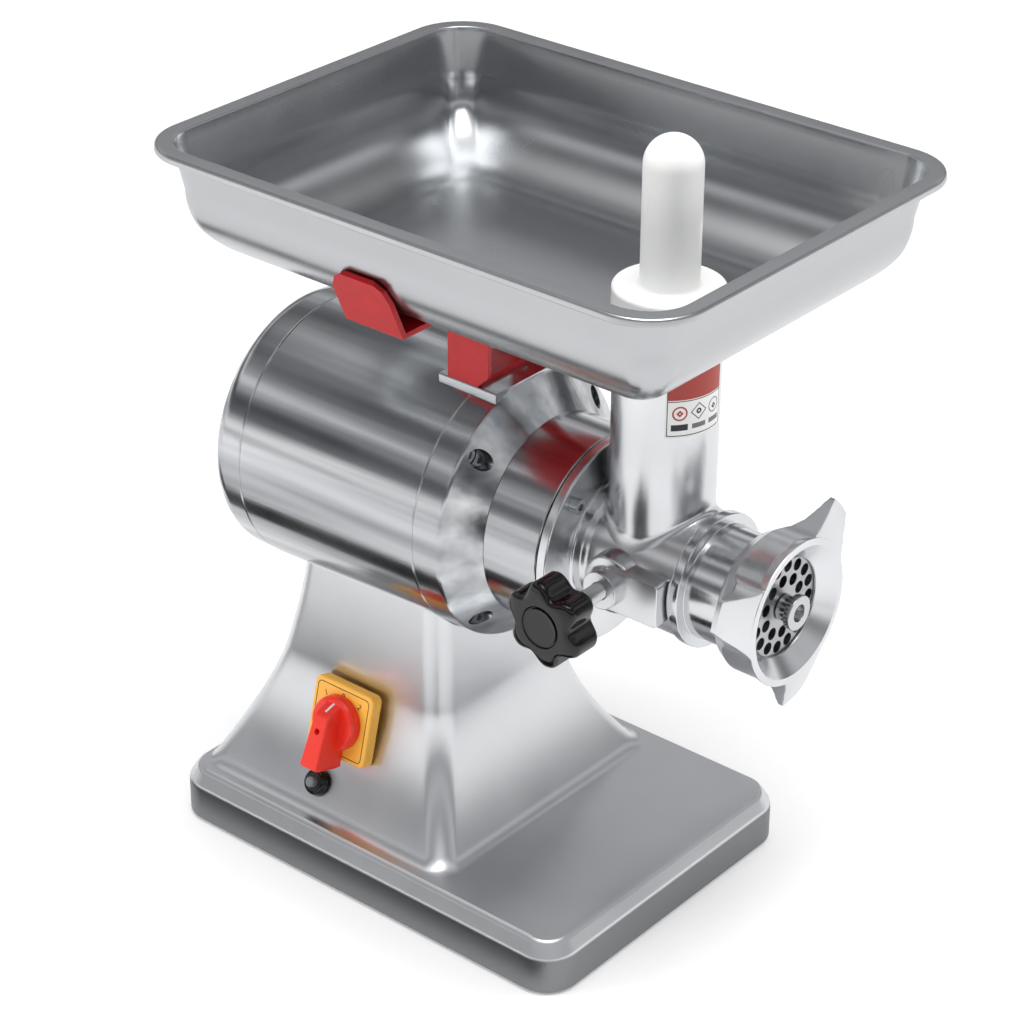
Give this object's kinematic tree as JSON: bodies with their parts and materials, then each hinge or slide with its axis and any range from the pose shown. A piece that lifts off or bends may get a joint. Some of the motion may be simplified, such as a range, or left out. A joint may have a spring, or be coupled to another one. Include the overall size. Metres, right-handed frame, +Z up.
{
  "type": "electric meat grinder",
  "caption": "Bench meat grinder: cast pedestal, horizontal geared motor, side-locked feed head with auger, plate and wing nut, steel feed pan and stomper.",
  "frame": {"origin": "on the table, under the middle of the machine's bounding box", "axes": "+Z up, the outlet faces -Y, +X is to the right when facing the outlet's way from behind, switch and lock knob on -X"},
  "size_m": [0.2674, 0.3734, 0.4795],
  "materials": {
    "cast_aluminium": "polished casting",
    "polished_aluminium": "turned and polished",
    "polished_head": "polished casting, machined ends",
    "raw_aluminium": "as machined",
    "stainless_sheet": "satin",
    "stainless_bar": "turned",
    "ground_steel": "surface ground",
    "zinc_screws": "zinc plated",
    "zinc_sheet": "zinc plated sheet",
    "red_powder_coat": "gloss powder coat",
    "black_rubber": "moulded",
    "black_plastic": "gloss moulded",
    "black_case": "moulded",
    "yellow_plastic": "moulded",
    "red_plastic": "moulded",
    "grey_plastic": "moulded",
    "white_plastic": "turned polyethylene",
    "capacitor_can": "drawn can",
    "label_film": "printed film",
    "core_steel": "stacked laminations",
    "enamelled_copper": "varnished winding",
    "gear_steel": "oiled",
    "bronze_bush": "turned"
  },
  "bodies": {
    "machine": {"pedestal_casting": "cast_aluminium", "bottom_plate": "zinc_sheet", "rubber_feet": "black_rubber", "foot_screws": "zinc_screws", "pedestal_bolts": "zinc_screws", "motor_housing": "polished_aluminium", "end_bell": "polished_aluminium", "end_bell_screws": "zinc_screws", "bearing_plate": "raw_aluminium", "gear_cover": "polished_aluminium", "gear_cover_screws": "zinc_screws", "gearbox_nose": "polished_aluminium", "nose_gasket": "black_rubber", "flange_screws": "zinc_screws", "feed_head": "polished_head", "tube_label": "label_film", "stator_core": "core_steel", "stator_windings": "enamelled_copper", "rotor_bearings": "gear_steel", "lay_bushes": "bronze_bush", "output_bearings": "gear_steel", "oil_seal": "black_rubber", "pan_support": "red_powder_coat", "pan_support_screws": "zinc_screws", "switch_plate": "yellow_plastic", "switch_body": "black_case", "reset_breaker": "black_case", "reset_nut": "black_plastic", "run_capacitor": "capacitor_can", "capacitor_clip": "zinc_sheet", "terminal_block": "black_case", "electrics_tray": "zinc_sheet", "inlet_gland": "black_case", "inlet_nut": "black_case"},
    "rotor": {"rotor_core": "core_steel", "rotor_shaft": "gear_steel", "cooling_fan": "black_case"},
    "lay_gears": {"lay_gear": "gear_steel", "lay_shaft": "gear_steel"},
    "output_drive": {"output_gear": "gear_steel", "output_shaft": "gear_steel"},
    "barrel": {"barrel": "polished_head", "hole_plate": "ground_steel"},
    "auger": {"auger": "stainless_bar", "knife": "ground_steel", "stud_cap": "stainless_bar"},
    "ring_nut": {"ring_nut": "polished_head"},
    "lock_knob": {"lock_knob": "black_plastic", "knob_cap": "black_plastic", "lock_stud": "stainless_bar"},
    "switch_lever": {"switch_lever": "red_plastic"},
    "reset_button": {"reset_button": "grey_plastic"},
    "feed_pan": {"feed_pan": "stainless_sheet"},
    "stomper": {"stomper": "white_plastic"}
  },
  "joints": [
    {"name": "rotor_spin", "type": "hinge", "parent": "machine", "child": "rotor", "pos_m": [0, 0.08925, 0.2331], "axis": [0, 1, 0], "continuous": true},
    {"name": "lay_spin", "type": "hinge", "parent": "machine", "child": "lay_gears", "pos_m": [0, -0.00075, 0.19935], "axis": [0, 1, 0], "continuous": true},
    {"name": "output_spin", "type": "hinge", "parent": "machine", "child": "output_drive", "pos_m": [0, -0.03075, 0.2331], "axis": [0, 1, 0], "continuous": true},
    {"name": "barrel_slide", "type": "slide", "parent": "machine", "child": "barrel", "axis": [0, -1, 0], "range_m": [0, 0.11]},
    {"name": "auger_spin", "type": "hinge", "parent": "barrel", "child": "auger", "pos_m": [0, -0.11075, 0.2331], "axis": [0, 1, 0], "continuous": true},
    {"name": "ring_nut_turn", "type": "hinge", "parent": "barrel", "child": "ring_nut", "pos_m": [0, -0.16875, 0.2331], "axis": [0, 1, 0], "continuous": true},
    {"name": "lock_knob_turn", "type": "hinge", "parent": "machine", "child": "lock_knob", "pos_m": [-0.07, -0.08875, 0.2331], "axis": [1, 0, 0], "continuous": true},
    {"name": "switch_turn", "type": "hinge", "parent": "machine", "child": "switch_lever", "pos_m": [-0.0684, 0.08075, 0.089], "axis": [-0.969, 0, 0.247], "range_deg": [-45, 45]},
    {"name": "reset_press", "type": "slide", "parent": "machine", "child": "reset_button", "axis": [0.8829, 0, -0.4695], "range_m": [0, 0.0025], "stiffness_N_per_m": 400, "springref_m": -0.002},
    {"name": "pan_lift", "type": "slide", "parent": "machine", "child": "feed_pan", "axis": [0, 0, 1], "range_m": [0, 0.12]},
    {"name": "stomper_lift", "type": "slide", "parent": "feed_pan", "child": "stomper", "axis": [0, 0, 1], "range_m": [0, 0.16]}
  ],
  "couplings": [
    {"joint": "lay_spin", "follows": "rotor_spin", "ratio": -0.28571},
    {"joint": "output_spin", "follows": "rotor_spin", "ratio": 0.11607},
    {"joint": "auger_spin", "follows": "rotor_spin", "ratio": 0.11607}
  ]
}
